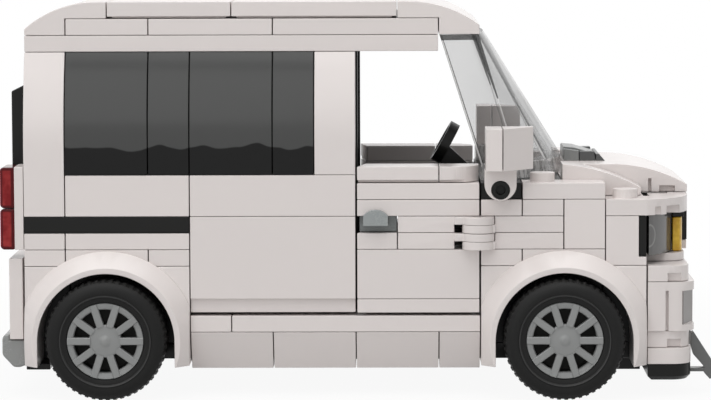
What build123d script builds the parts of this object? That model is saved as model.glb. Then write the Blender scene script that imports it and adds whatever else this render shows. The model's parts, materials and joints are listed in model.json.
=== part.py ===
"""Brick-built toy kei van, in millimetres.

+X points forward, +Y to the van's left, +Z up.  The origin is on the ground, under the
middle of the whole van.  The body is built on a brick grid: places along the van are
given in studs ahead of the body's rear face, heights in plates above the ground.
"""
from build123d import *
import os
from math import ceil, sqrt

# ---------------------------------------------------------------- driving dimensions
STUD = 8.0                  # grid pitch along and across the van
PLATE = 3.2                 # height of one plate; a brick is three plates
GAP = 0.1                   # each piece stops this far short of its grid line
SEAM = 0.1                  # a course's top stops this far under the next course
STUD_RADIUS = 2.4           # a bare stud
STUD_HEIGHT = 1.8
BRACKET = 1.6               # plate of a sideways bracket
WALL = 3.2                  # walls behind the side panels, and the rear wall

BODY_STUDS = 15             # body length, rear face to front face
HALF_STUDS = 4              # half of the body width
QUARTER_STUDS = 4           # rear quarter, over the rear wheels
DOOR_STUDS = 3              # front door
ROOF_INSET = 4.0            # each side leans in this far under the roof
REAR_OVERHANG = 4.6         # rear lamps behind the rear face
FRONT_OVERHANG = 13.4       # chin blade ahead of the front face

CHASSIS = 2                 # underside of the chassis, in plates
SKIRT_TOP = 4               # top of the skirts, in plates
SILL_TOP = 5                # top of the sills, in plates
DECK_UP = 5                 # fender tops over the wheel arches, in plates
GLASS_UP = 6                # windscreen's foot line over the wheel arches, in plates
ROOF_UP = 13                # roof over the wheel arches, in plates

# Wheels
TYRE_RADIUS = 11.7
TYRE_WIDTH = 11.0
TYRE_SHOULDER = 1.2
WHEEL_OUT = 6.0             # tyre's outer face beyond the body side
RIM_RADIUS = 7.35
RIM_WALL = 1.25
RIM_RECESS = 0.5            # rim face behind the tyre's outer face
RIM_DEPTH = 8.6
SPOKES = 10
SPOKE_WIDTH = 1.35
SPOKE_THICK = 1.6
SPOKE_RECESS = 0.1
HUB_RADIUS = 3.15
HUB_BOSS = 0.35
WEB_RECESS = 4.2            # closed web behind the spokes
WEB_THICK = 1.2
PIN_RADIUS = 1.9
PIN_CLEARANCE = 0.06
PIN_LENGTH = 8.5            # pin beyond the tyre's inner face
PIN_END_PLAY = 0.4
BLOCK_CLEARANCE = 0.4       # axle block to wheel

# Wheel arches
ARCH_CLEARANCE = 1.5        # arch opening beyond the tyre
ARCH_DROP = 0.4             # arch centre below the wheel's
ARCH_LIP = 1.1              # flat lip around the opening
ARCH_SLOPE = 2.9            # width of the sloping face
ARCH_FLARE = 4.0            # lip beyond the body side
ARCH_STEP = 0.6             # face's outer edge beyond the body side
ARCH_ROOF = 1.0             # least material over the opening

# Doors and their hinges
DOOR_GAP = 0.25             # front door to its neighbours
DOOR_LIFT = 0.5             # under the doors
DOOR_RELIEF_PLAY = 0.05     # the slanted rear edge clears its swing by this much
FOOT_RECESS = 0.9           # sliding door's foot, set back under its big panel
HINGE_RADIUS = 3.1
HINGE_BACK = 0.45           # hinge axis behind the door's front edge
HINGE_PROUD = 3.1           # barrel beyond the door's face
HINGE_PIN_RADIUS = 1.2
HINGE_CLEARANCE = 0.08
HINGE_NECK_GAP = 1.5        # open gap beside the barrel
HINGE_NECK = 2.4            # thickness of the neck
HINGE_PLAY = 0.12           # between a barrel and the other half's plate
FINGER_PLAY = 0.05          # between the two fingers of a hinge
HANDLE_RECESS = 2.4
HANDLE_PROUD = 1.5

# Side panels
LEAN_START = 6.0            # upright foot of the window panels
PILLAR_START = 12.0         # upright foot of the rear pillars
POST_AHEAD = 0.3            # door posts show this far ahead of the sliding doors
SKIRT_LOW = 5.3             # lower edge of the skirts
SKIRT_LEAN = 3.6            # skirts lean in this far at the bottom
ROOF_DROP = 0.45            # the panels under the roof are this much short of the grid

# ---------------------------------------------------------------- stations and heights
FRONT_AXLE = BODY_STUDS - 2
REAR_AXLE = 2
DOOR_FRONT = FRONT_AXLE - 2
DOOR_REAR = DOOR_FRONT - DOOR_STUDS
ROOF_END = DOOR_FRONT - 1   # flat roof ends here

ARCH_RADIUS = TYRE_RADIUS + ARCH_CLEARANCE
ARCH_Z = TYRE_RADIUS - ARCH_DROP
ARCH_TOP = ceil((ARCH_Z + ARCH_RADIUS + ARCH_ROOF) / PLATE)
LOWER_ROW = ARCH_TOP + 1    # rows of side courses
UPPER_ROW = ARCH_TOP + 2
STRIPE_TOP = ARCH_TOP + 3
COWL = ARCH_TOP + 4
DECK = ARCH_TOP + DECK_UP
GLASS_ROW = ARCH_TOP + GLASS_UP
BELT = GLASS_ROW - 0.5      # lower edge of the side windows
ROOF = ARCH_TOP + ROOF_UP - ROOF_DROP / PLATE

SIDE = HALF_STUDS * STUD
INNER = SIDE - STUD                         # inner face of the outermost column
PANEL_BACK = INNER + BRACKET                # back of the sideways panels
ROOF_SIDE = SIDE - ROOF_INSET
WHEEL_FACE = SIDE + WHEEL_OUT
WHEEL_BACK = WHEEL_FACE - TYRE_WIDTH
SPINE = WHEEL_BACK - STUD / 2               # half width of the chassis between wheels
REAR = -(BODY_STUDS * STUD + FRONT_OVERHANG - REAR_OVERHANG) / 2
FRONT = REAR + BODY_STUDS * STUD

nodes = {}


def along(studs):
    """X of a station given in studs."""
    return REAR + studs * STUD


def level(plates):
    """Z of a height given in plates."""
    return plates * PLATE


def box(x0, x1, y0, y1, z0, z1):
    """A plain block between two corners."""
    return Pos((x0 + x1) / 2, (y0 + y1) / 2, (z0 + z1) / 2) * Box(x1 - x0, y1 - y0, z1 - z0)


def brick(s0, s1, y0, y1, p0, p1):
    """A block on the grid: studs along, millimetres across, plates up."""
    return box(along(s0) + GAP, along(s1) - GAP, y0, y1, level(p0), level(p1) - SEAM)


def outline(start, *steps):
    """A closed face. A step is a point, or (through, end) for an arc."""
    edges = []
    here = start
    for step in steps:
        if isinstance(step[0], tuple):
            edges.append(ThreePointArc(here, step[0], step[1]))
            here = step[1]
        else:
            edges.append(Line(here, step))
            here = step
    edges.append(Line(here, start))
    return make_face(edges)


def across(face, y0, y1):
    """Extrude an (x, z) face from y0 to y1."""
    return extrude(Plane((0, y1, 0), x_dir=(1, 0, 0), z_dir=(0, -1, 0)) * face, amount=y1 - y0)


def lengthwise(face, x0, x1):
    """Extrude a (y, z) face from x0 to x1."""
    return extrude(Plane((x0, 0, 0), x_dir=(0, 1, 0), z_dir=(1, 0, 0)) * face, amount=x1 - x0)


def upward(face, z0, z1):
    """Extrude an (x, y) face from z0 to z1."""
    return extrude(Pos(0, 0, z0) * face, amount=z1 - z0)


def sagged(start, end, sag):
    """Point halfway between two points, moved off their line by sag to its left."""
    dx = end[0] - start[0]
    dz = end[1] - start[1]
    length = sqrt(dx ** 2 + dz ** 2)
    return ((start[0] + end[0]) / 2 - dz / length * sag, (start[1] + end[1]) / 2 + dx / length * sag)


def stud(x, y, z):
    """A bare stud standing on z."""
    return Pos(x, y, z + STUD_HEIGHT / 2) * Cylinder(STUD_RADIUS, STUD_HEIGHT)


def cylinder_y(radius, x, z, y0, y1):
    """A cylinder along Y."""
    return Pos(x, (y0 + y1) / 2, z) * Rot(90, 0, 0) * Cylinder(radius, y1 - y0)


def cylinder_z(radius, x, y, z0, z1):
    """A cylinder along Z."""
    return Pos(x, y, (z0 + z1) / 2) * Cylinder(radius, z1 - z0)


def flip(shape):
    """The same piece on the other side of the van."""
    return mirror(shape, Plane.XZ)


def both(shapes):
    """Pieces of the left side together with their right-hand twins."""
    return shapes + [flip(shape) for shape in shapes]


def node(name, shapes):
    """Keep the solids of one sub-part under its name."""
    nodes[name] = [solid for shape in shapes for solid in shape.solids()]


# ---------------------------------------------------------------- chassis and floor
# A black spine under the whole van, wider between the wheels, open below inside its rim.
PLATE_RIM = 1.5             # rim around the open underside
PLATE_SKIN = 1.4            # thickness over the open underside
spine = brick(0, BODY_STUDS, -SPINE, SPINE, CHASSIS, CHASSIS + 1)
spine += brick(QUARTER_STUDS, DOOR_FRONT, -INNER, INNER, CHASSIS, CHASSIS + 1)
# (rear station, front station, half width) of each open bay
BAYS = ((0, QUARTER_STUDS, SPINE), (QUARTER_STUDS, DOOR_FRONT, INNER), (DOOR_FRONT, BODY_STUDS, SPINE))
for s0, s1, half in BAYS:
    spine -= box(along(s0) + PLATE_RIM, along(s1) - PLATE_RIM, -half + PLATE_RIM, half - PLATE_RIM,
                 level(CHASSIS), level(CHASSIS + 1) - SEAM - PLATE_SKIN)
# Low tiles under the two ends: (rear station, front station, half width, thickness)
LOW_TILES = ((0, 0.6, SIDE - 1.5, 1.1), (BODY_STUDS - 1, BODY_STUDS, 2 * STUD, PLATE))
for s0, s1, half, thick in LOW_TILES:
    spine += box(along(s0) + GAP, along(s1) - GAP, -half, half, level(CHASSIS) - thick, level(CHASSIS))

# Black bricks that close the wheel wells on their inner side: (rear, front) from the axle, low plate
AXLES = {"rear": REAR_AXLE, "front": FRONT_AXLE}
WELL_BRICKS = ((-2, -1, CHASSIS + 1), (-1, 1, SILL_TOP), (1, 2, CHASSIS + 1))
wells = [brick(axle + s0, axle + s1, SPINE - STUD, SPINE, p0, ARCH_TOP)
         for axle in AXLES.values() for s0, s1, p0 in WELL_BRICKS]
node("chassis_plate", [spine] + both(wells))

# Blocks with the wheel pins.
axle_blocks = []
for axle in AXLES.values():
    block_half = WHEEL_BACK - BLOCK_CLEARANCE
    pin_end = WHEEL_BACK + PIN_LENGTH
    block = box(along(axle - 1), along(axle + 1), -block_half, block_half,
                level(CHASSIS + 1), level(SILL_TOP) - SEAM)
    axle_blocks.append(block + cylinder_y(PIN_RADIUS, along(axle), TYRE_RADIUS, -pin_end, pin_end))
node("axle_blocks", axle_blocks)

node("floor_plates", [brick(QUARTER_STUDS, DOOR_FRONT, -INNER, INNER, CHASSIS + 1, SILL_TOP),
                      brick(0, QUARTER_STUDS, -INNER, INNER, ARCH_TOP, LOWER_ROW)])

# ---------------------------------------------------------------- sills and skirts
SILLS = ((QUARTER_STUDS, QUARTER_STUDS + 1), (QUARTER_STUDS + 1, DOOR_FRONT))
node("sill_tiles", both([brick(s0, s1, INNER, SIDE, SKIRT_TOP, SILL_TOP) for s0, s1 in SILLS]))
skirt = outline((INNER, level(SKIRT_TOP) - SEAM), (INNER, SKIRT_LOW), (SIDE - SKIRT_LEAN, SKIRT_LOW),
                (SIDE, level(SKIRT_TOP) - SEAM))
SKIRT_STUDS = 2
node("skirt_slopes", both([lengthwise(skirt, along(s) + GAP, along(min(s + SKIRT_STUDS, DOOR_FRONT)) - GAP)
                           for s in range(QUARTER_STUDS, DOOR_FRONT, SKIRT_STUDS)]))


# ---------------------------------------------------------------- wheel arches
def wheel_arch(axle):
    """A mudguard block with a round opening and a flared, sloping face."""
    x = along(axle)
    half = 2 * STUD - GAP
    low = level(CHASSIS)
    lip = ARCH_RADIUS + ARCH_LIP
    face = outline((ARCH_RADIUS, -ARCH_STEP), (lip + ARCH_SLOPE, -ARCH_STEP), (lip + ARCH_SLOPE, ARCH_STEP),
                   (lip, ARCH_FLARE), (ARCH_RADIUS, ARCH_FLARE))
    flare = Pos(x, SIDE, ARCH_Z) * Rot(-90, 0, 0) * revolve(Plane.XZ * face, Axis.Z)
    flare &= box(x - half, x + half, SIDE - ARCH_STEP, SIDE + ARCH_FLARE, low, level(LOWER_ROW))
    block = box(x - half, x + half, INNER, SIDE, low, level(ARCH_TOP) - SEAM)
    flare -= box(x - half, x + half, 0, SIDE, level(ARCH_TOP) - SEAM, level(LOWER_ROW))
    opening = cylinder_y(ARCH_RADIUS, x, ARCH_Z, INNER - 1, SIDE + ARCH_FLARE + 1)
    opening += box(x - ARCH_RADIUS, x + ARCH_RADIUS, INNER - 1, SIDE + ARCH_FLARE + 1, 0, ARCH_Z)
    return block + flare - opening


for place, axle in AXLES.items():
    node(f"{place}_arches", both([wheel_arch(axle)]))


# ---------------------------------------------------------------- side courses
def course(rows, first):
    """Bricks of the outermost column; a row is (rear, front) from first, (low, high) plates from the arch top."""
    return [brick(first + s0, first + s1, INNER, SIDE, ARCH_TOP + p0, ARCH_TOP + p1) for s0, s1, p0, p1 in rows]


QUARTER_COURSES = ((0, 1, 0, 1), (1, 3, 0, 1), (3, 4, 0, 1), (0, 1, 1, 2), (1, 4, 1, 2))
FENDER_COURSES = ((0, 1, 0, 1), (1, 3, 0, 1), (0, 1, 3, 4), (1, 2, 3, 4), (2, 3, 1, 4), (1, 3, 4, 5), (3, 4, 0, 3))
LAMP_LOW = ARCH_TOP + 0.5   # lower edge of the headlamps
LAMP_HIGH = STRIPE_TOP
LAMP_BRACKET = 1.6          # black bracket beside each headlamp
node("quarter_bricks", both(course(QUARTER_COURSES, 0)))
node("stripe_tiles", both([brick(0, QUARTER_STUDS, INNER, SIDE, UPPER_ROW, STRIPE_TOP)]))
fender = course(FENDER_COURSES, DOOR_FRONT)
fender[-2] += stud(along(DOOR_FRONT + 1.5), SIDE - STUD / 2, level(DECK) - SEAM)
fender[-1] -= box(FRONT - LAMP_BRACKET, FRONT, INNER, SIDE, level(LAMP_LOW), level(LAMP_HIGH))
node("fender_bricks", both(fender))


# ---------------------------------------------------------------- side panels
def leaning_panel(s0, s1, p0, straight):
    """A curved panel on its side: upright at first, then leaning in to the roof."""
    low = level(p0)
    high = level(ROOF) - SEAM
    bend = low + straight
    rise = high - bend
    radius = (rise ** 2 + ROOF_INSET ** 2) / (2 * ROOF_INSET)
    middle = (SIDE - radius + sqrt(radius ** 2 - (rise / 2) ** 2), bend + rise / 2)
    face = outline((PANEL_BACK, low), (SIDE, low), (SIDE, bend), (middle, (ROOF_SIDE, high)),
                   (PANEL_BACK, high))
    return lengthwise(face, along(s0) + GAP, along(s1) - GAP)


WINDOWS = ((1, 3), (3, QUARTER_STUDS), (QUARTER_STUDS, DOOR_REAR - 2), (DOOR_REAR - 2, DOOR_REAR - 1))
node("quarter_panels", both([leaning_panel(0, 1, STRIPE_TOP, PILLAR_START),
                             brick(1, QUARTER_STUDS, PANEL_BACK, SIDE, STRIPE_TOP, BELT)]))
node("side_windows", both([leaning_panel(s0, s1, BELT, LEAN_START) for s0, s1 in WINDOWS]))

# Sliding door: upper panel, big panel with its foot just above the sill, and curved pillar.
foot_top = SILL_TOP + 1
door_foot = box(along(QUARTER_STUDS) + GAP, along(DOOR_REAR) - GAP, PANEL_BACK, SIDE - FOOT_RECESS,
                level(SILL_TOP) + DOOR_LIFT, level(foot_top))
sliding_door = [brick(QUARTER_STUDS, DOOR_REAR, PANEL_BACK, SIDE, STRIPE_TOP, BELT),
                brick(QUARTER_STUDS, DOOR_REAR, PANEL_BACK, SIDE, foot_top, STRIPE_TOP) + door_foot,
                leaning_panel(DOOR_REAR - 1, DOOR_REAR, BELT, LEAN_START)]
node("sliding_door_left", sliding_door)
node("sliding_door_right", [flip(shape) for shape in sliding_door])

# Inner walls that carry the panels, with the posts behind the front doors.
wall_back = PANEL_BACK - WALL
inner_wall = box(along(0) + WALL, along(DOOR_REAR) - GAP, wall_back, INNER, level(LOWER_ROW), level(ROOF) - SEAM)
inner_wall += box(along(QUARTER_STUDS) + GAP, along(DOOR_REAR) - GAP, wall_back, INNER, level(SILL_TOP),
                  level(LOWER_ROW))
inner_wall += box(along(0) + WALL, along(DOOR_REAR) - GAP, INNER, PANEL_BACK, level(STRIPE_TOP),
                  level(ROOF) - SEAM)
inner_wall += box(along(QUARTER_STUDS) + GAP, along(DOOR_REAR) - GAP, INNER, PANEL_BACK, level(SILL_TOP),
                  level(STRIPE_TOP))
inner_wall += box(along(DOOR_REAR - 1), along(DOOR_REAR) + POST_AHEAD, wall_back - WALL, wall_back,
                  level(SILL_TOP), level(ROOF) - SEAM)
node("inner_walls", both([inner_wall]))

# ---------------------------------------------------------------- rear end
WINDOW_PROUD = 3.15         # rear window behind the rear face
WINDOW_HALF = 22.4
WINDOW_TALL = 4.9           # plates
WINDOW_BEVEL = 1.6
WINDOW_LOW = 0.6            # rear window below the row of the glass
LAMP_PLATE = 1.75           # white plate behind each rear lamp
LAMP_TALL = 2.5             # plates, each of the two stacked lamps
LAMP_CHAMFER = 0.5
GATE_PROUD = 3.0            # lower tailgate panel
GATE_SHADOW = 0.4           # open seam between its edges and the rear face
GATE_TOP_GAP = 1.8          # panel's top below the lamps
GATE_IN = 1.0               # panel's ends inside the body sides
GATE_CORE = 3.0             # its core's ends further in
BUMPER_TOP = 3.5            # plates
BUMPER_IN = 1.5
# Half section of the rear bumper: (behind the rear face, above its underside)
BUMPER = ((0, 0.4), (1.2, 0), (2.4, 0), (4.6, 2.4), (4.6, 5.7), (4.1, 6.4), (3.05, 6.4), (3.05, 5.35), (0, 5.35))
BUMPER_DROP = 0.65          # its underside below the chassis

upper_wall = box(REAR + GAP, REAR + WALL - GAP, -INNER, INNER, level(LOWER_ROW), level(ROOF) - SEAM)
lower_half = SPINE - STUD - GAP
lower_wall = box(REAR + GAP, REAR + WALL - GAP, -lower_half, lower_half, level(CHASSIS + 1), level(ARCH_TOP) - SEAM)
lamps_top = LOWER_ROW + 2 * LAMP_TALL
lamp_plate = box(REAR - LAMP_PLATE, REAR, INNER, SIDE - GAP, level(LOWER_ROW), level(lamps_top))
node("rear_wall", [upper_wall, lower_wall] + both([lamp_plate]))

window_low = level(GLASS_ROW) - WINDOW_LOW
window_high = level(GLASS_ROW + WINDOW_TALL)
pane = outline((REAR - WINDOW_PROUD, window_low), (REAR + GAP, window_low), (REAR + GAP, window_high),
               (REAR - WINDOW_PROUD, window_high - WINDOW_BEVEL))
node("rear_window", [across(pane, -WINDOW_HALF, WINDOW_HALF)])

lamps = []
for index in range(2):
    lamp = box(REAR - REAR_OVERHANG, REAR - LAMP_PLATE, INNER + GAP, SIDE - GAP,
               level(LOWER_ROW + index * LAMP_TALL), level(LOWER_ROW + (index + 1) * LAMP_TALL) - SEAM)
    lamps.append(chamfer(lamp.faces().sort_by(Axis.X)[0].edges(), LAMP_CHAMFER))
node("rear_lamps", both(lamps))

gate_low = level(BUMPER_TOP) + SEAM
gate_high = level(LOWER_ROW) - GATE_TOP_GAP
gate_half = SIDE - GATE_IN
gate = box(REAR - GATE_PROUD, REAR - GATE_SHADOW, -gate_half, gate_half, gate_low, gate_high)
gate += box(REAR - GATE_SHADOW, REAR, GATE_CORE - gate_half, gate_half - GATE_CORE, gate_low, gate_high - GATE_SHADOW)
node("tailgate_panel", [gate])

bumper_low = level(CHASSIS) - BUMPER_DROP
bumper = across(outline(*[(REAR - x, bumper_low + z) for x, z in BUMPER]), -SIDE + BUMPER_IN, SIDE - BUMPER_IN)
node("rear_bumper", [bumper])

# ---------------------------------------------------------------- roof
TILE_GROOVE = 0.35          # groove under the roof tiles
TILE_GROOVE_DEPTH = 1.0
REAR_LIP = 1.2              # upright lip of the rear roof curve
FRONT_LIP = 1.8
CURVE_FLAT = 2.0            # level stretch of a roof curve
ROOF_JOINTS = (1, 3, 6, ROOF_END)
TILE_JOINTS = (2, 5, ROOF_END - 1)

node("roof_plate", [brick(0, ROOF_END, -ROOF_SIDE, ROOF_SIDE, ROOF, ROOF + 1)])
node("roof_bricks", [brick(s0, s1, -ROOF_SIDE, ROOF_SIDE, ROOF + 1, ROOF + 2)
                     for s0, s1 in zip(ROOF_JOINTS, ROOF_JOINTS[1:])])
roof_tiles = []
for s0, s1 in zip(TILE_JOINTS, TILE_JOINTS[1:]):
    groove_top = level(ROOF + 2) + TILE_GROOVE
    foot = box(along(s0) + TILE_GROOVE_DEPTH, along(s1) - TILE_GROOVE_DEPTH, -ROOF_SIDE + TILE_GROOVE_DEPTH,
               ROOF_SIDE - TILE_GROOVE_DEPTH, level(ROOF + 2), groove_top)
    roof_tiles.append(foot + box(along(s0) + GAP, along(s1) - GAP, -ROOF_SIDE, ROOF_SIDE, groove_top,
                                 level(ROOF + 3)))
node("roof_tiles", roof_tiles)


def roof_curve(end, step, high, lip):
    """An end of the roof: rises in an arc from its lip to the level top."""
    low = level(ROOF + 1)
    top = level(ROOF + 3)
    way = 1 if high > end else -1
    run = abs(high - end) - CURVE_FLAT
    drop = top - low - lip
    radius = (run ** 2 + drop ** 2) / (2 * drop)
    middle = (end + way * run / 2, top - radius + sqrt(radius ** 2 - (run / 2) ** 2))
    face = outline((end, low), (end, low + lip), (middle, (end + way * run, top)), (high, top),
                   (high, level(ROOF + 2)), (step, level(ROOF + 2)), (step, low))
    return across(face, -ROOF_SIDE, ROOF_SIDE)


node("roof_curves", [roof_curve(along(0) + GAP, along(1) - GAP, along(2) - GAP, REAR_LIP),
                     roof_curve(along(DOOR_FRONT) - GAP, along(ROOF_END) + GAP, along(ROOF_END - 1) + GAP,
                                FRONT_LIP)])

# ---------------------------------------------------------------- windscreen
GLASS = 1.6
FOOT_RIM = 3.0              # width of the windscreen's foot rim
# Half outlines in plan: (ahead of the door's front edge, in from the body side)
FOOT = ((0.2, 4.4), (7.5, 8.0), (14.8, 18.0), (16.9, SIDE))
HEAD = ((-7.8, 4.4), (-0.2, 7.4), (0.7, 14.0), (1.2, SIDE))


def screen_wire(half, inset, z):
    """Closed plan outline of the windscreen at one height, drawn in by inset."""
    points = [(along(DOOR_FRONT) + x - inset, max(SIDE - y - inset, 0)) for x, y in half]
    if inset:
        points.insert(0, (points[0][0] - STUD, points[0][1]))
    left = [(x, y, z) for x, y in points]
    right = [(x, -y, z) for x, y in points[:-1]]
    return Wire(Polyline(left + right[::-1], close=True).edges())


def screen_body(inset):
    """Solid between the foot and head outlines."""
    foot = screen_wire(FOOT, inset, level(GLASS_ROW))
    head = screen_wire(HEAD, inset, level(ROOF + 1) - SEAM)
    return Part(Solid.make_loft([foot, head], ruled=True).wrapped)


def foot_slab(inset):
    """Upright-sided slab on the foot outline."""
    return extrude(make_face(screen_wire(FOOT, inset, level(DECK))), amount=PLATE)


node("windscreen", [screen_body(0) - screen_body(GLASS) + (foot_slab(0) - foot_slab(FOOT_RIM))])

# ---------------------------------------------------------------- bonnet and fender tops
BONNET_HALF = 2 * STUD - GAP
BONNET_REACH = 9.0          # bonnet's nose ahead of the body's front face
BONNET_NOSE = 1.5           # its height there
BONNET_TOP = 5.5            # its level top above its underside
BONNET_FLAT = 5.0           # level top ends this far behind the front face
BONNET_SAG = 0.9            # from there it bulges this far over the straight line
SLOPE_REACH = 0.6           # fender slopes end this far behind the front face
SLOPE_NOSE = 1.5
SLOPE_SAG = 0.85
SLOPE_DROP = 0.3            # their rear edge below the glass's foot line
GLASS_REST = 0.3            # bonnet ahead of the windscreen's foot

NOSE_CORE = 5.0             # core ahead of the front face
NOSE_CORE_HALF = 2 * STUD
LAMP_RECESS = 0.6           # lamp bracket behind the body side
front_core = brick(DOOR_FRONT + 1, BODY_STUDS, -INNER, INNER, ARCH_TOP, COWL)
nose_core = box(FRONT + GAP, FRONT + NOSE_CORE, -NOSE_CORE_HALF, NOSE_CORE_HALF, level(LAMP_LOW), level(COWL) - SEAM)
bracket = box(FRONT - LAMP_BRACKET + GAP, FRONT - GAP, INNER - GAP, SIDE - LAMP_RECESS,
              level(LAMP_LOW) + SEAM, level(LAMP_HIGH) - SEAM)
node("front_core", [front_core + bracket + flip(bracket), nose_core])
node("cowl_plate", [brick(DOOR_FRONT + 1, FRONT_AXLE, -INNER, INNER, COWL, DECK)])

cowl = level(COWL)
deck = level(DECK) - SEAM
glass_edge = along(DOOR_FRONT) + FOOT[-1][0] + GLASS_REST
bonnet_back = (glass_edge, cowl + BONNET_TOP)
bonnet_flat = (FRONT - BONNET_FLAT, cowl + BONNET_TOP)
bonnet_nose = (FRONT + BONNET_REACH, cowl + BONNET_NOSE)
bonnet_side = outline((along(FRONT_AXLE) + GAP, cowl), (along(FRONT_AXLE) + GAP, deck), (glass_edge, deck),
                      bonnet_back, bonnet_flat, (sagged(bonnet_flat, bonnet_nose, BONNET_SAG), bonnet_nose),
                      (bonnet_nose[0], cowl))
bonnet = across(bonnet_side, -BONNET_HALF, BONNET_HALF)
# Slots in the bonnet's sides: (behind the nose, length, height)
BONNET_SLOTS = ((7.6, 0.6, 2.6), (5.4, 3.0, 1.2))
SLOT_DEPTH = 1.2
for back, length, height in BONNET_SLOTS:
    slot = box(bonnet_nose[0] - back, bonnet_nose[0] - back + length, BONNET_HALF - SLOT_DEPTH,
               BONNET_HALF, cowl, cowl + height)
    bonnet -= slot + flip(slot)
node("bonnet", [bonnet])

slope_back = (along(FRONT_AXLE) + GAP, level(GLASS_ROW) - SLOPE_DROP)
slope_nose = (FRONT - SLOPE_REACH, cowl + SLOPE_NOSE)
slope = outline((slope_back[0], cowl), slope_back, (sagged(slope_back, slope_nose, SLOPE_SAG), slope_nose),
                (slope_nose[0], cowl))
node("fender_slopes", both([across(slope, BONNET_HALF + 2 * GAP, INNER - GAP)]))

# Air intake in front of the glass: a hump between two cheeks, and a lip.  Half sections in
# (ahead of the windscreen's foot, above the bonnet).
HUMP = ((0, 0), (0, 2.7), (2.2, 2.5), (6.2, 1.4), (6.3, 0))
SHOULDER = ((0, 0), (0, 2.4), (3.0, 2.0), (3.0, 0))
CHEEK = ((3.1, 0), (3.1, 1.9), (6.0, 1.9), (6.3, 0))
LIP = ((6.4, 0), (6.4, 1.4), (7.0, 1.4), (8.2, 0))
INTAKE_HALF = 7.5
CHEEK_WIDTH = 2.0
hump_half = INTAKE_HALF - CHEEK_WIDTH - GAP


def on_bonnet(section, y0, y1):
    """A piece standing on the bonnet's level top."""
    points = [(bonnet_back[0] + x, bonnet_back[1] + z) for x, z in section]
    return across(outline(*points), y0, y1)


node("cowl_slopes", [on_bonnet(HUMP, -hump_half, hump_half)]
     + both([on_bonnet(SHOULDER, INTAKE_HALF - CHEEK_WIDTH, INTAKE_HALF)]))
node("cowl_grille", [on_bonnet(LIP, -INTAKE_HALF, INTAKE_HALF)]
     + both([on_bonnet(CHEEK, INTAKE_HALF - CHEEK_WIDTH, INTAKE_HALF)]))

# ---------------------------------------------------------------- nose
NOSE_BACK = 0.2             # seam between the body and the nose pieces
NOSE_REACH = 9.4            # nose pieces ahead of the front face
NOSE_CORNER = 4.0           # plan radius of their corners


def nose_plan(back, inward):
    """Plan outline of a nose plate with round front corners."""
    x0 = FRONT + NOSE_BACK
    x1 = FRONT + NOSE_REACH - back
    half = SIDE - GAP - inward
    bend = NOSE_CORNER * (1 - sqrt(0.5))
    return outline((x0, -half), (x1 - NOSE_CORNER, -half), ((x1 - bend, -half + bend), (x1, -half + NOSE_CORNER)),
                   (x1, half - NOSE_CORNER), ((x1 - bend, half - bend), (x1 - NOSE_CORNER, half)), (x0, half))


BASE_BACK = 0.6             # bumper base behind the full reach
# (node, low plate, high plate, back from the full reach, in from the full width, depth of the side notch)
NOSE_COURSES = (("bumper_base", CHASSIS - 1, CHASSIS, BASE_BACK, 0.3, 0),
                ("nose_plates", CHASSIS, CHASSIS + 1, 0.6, 0, 0),
                ("nose_plates", ARCH_TOP - 1, ARCH_TOP, 1.1, 0, 1.0),
                ("nose_curves", CHASSIS + 1, CHASSIS + 2, 0.9, 0.6, 1.0),
                ("nose_curves", ARCH_TOP, ARCH_TOP + 0.5, 1.3, 8.0, 0))
BASE_ROUND = 0.8            # lower edge of the bumper base
NOTCH = (4.0, 6.6)          # side notches from rear to front, ahead of the front face
NOTCH_TALL = 1.6            # open below
GRILLE_FOOT = 0.55          # plates, step under the grille
GRILLE_FOOT_BACK = 0.5      # it stops this far behind the nose's front


def notched(shape, low, side, depth, start, end):
    """Cut a notch, open below, in both sides of a nose piece."""
    notch = box(FRONT + start, FRONT + end, side - depth, side, low, low + NOTCH_TALL)
    return shape - notch - flip(notch)


nose = {}
for name, p0, p1, back, inward, depth in NOSE_COURSES:
    plate = upward(nose_plan(back, inward), level(p0), level(p1) - SEAM)
    if depth:
        plate = notched(plate, level(p0), SIDE - GAP - inward, depth, *NOTCH)
    nose.setdefault(name, []).append(plate)
base = nose["bumper_base"][0]
nose["bumper_base"] = [chamfer(base.faces().sort_by(Axis.Z)[0].edges(), BASE_ROUND)]
nose["nose_curves"].append(box(FRONT + NOSE_CORE + GAP, FRONT + NOSE_REACH - GRILLE_FOOT_BACK, -NOSE_CORE_HALF,
                               NOSE_CORE_HALF, level(LAMP_LOW), level(LAMP_LOW + GRILLE_FOOT) - SEAM))
for name, shapes in nose.items():
    node(name, shapes)

# Bumper block with an upright groove in each side and its corners cut off between two lips.
GROOVE_X = 3.9              # groove ahead of the front face
GROOVE = 0.6
GROOVE_DEPTH = 1.2
CUT_START = 7.0             # the cut starts here, ahead of the front face
CUT_END = 7.0               # and ends this far in from the body side, on the nose's front
CUT_TOP = 1.7               # lips above and below the cut
CUT_FOOT = 1.2
block_low = level(CHASSIS + 2)
block_high = level(ARCH_TOP - 1) - SEAM
bumper_block = upward(nose_plan(0, 0), block_low, block_high)
groove = box(FRONT + GROOVE_X - GROOVE / 2, FRONT + GROOVE_X + GROOVE / 2, SIDE - GROOVE_DEPTH, SIDE,
             block_low, block_high - CUT_TOP)
cut_plan = outline((FRONT + CUT_START, SIDE - GAP), (FRONT + NOSE_REACH, SIDE - CUT_END), (FRONT + NOSE_REACH, SIDE),
                   (FRONT + CUT_START, SIDE))
cut = upward(cut_plan, block_low + CUT_FOOT, block_high - CUT_TOP)
node("bumper_block", [bumper_block - groove - flip(groove) - cut - flip(cut)])

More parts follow.
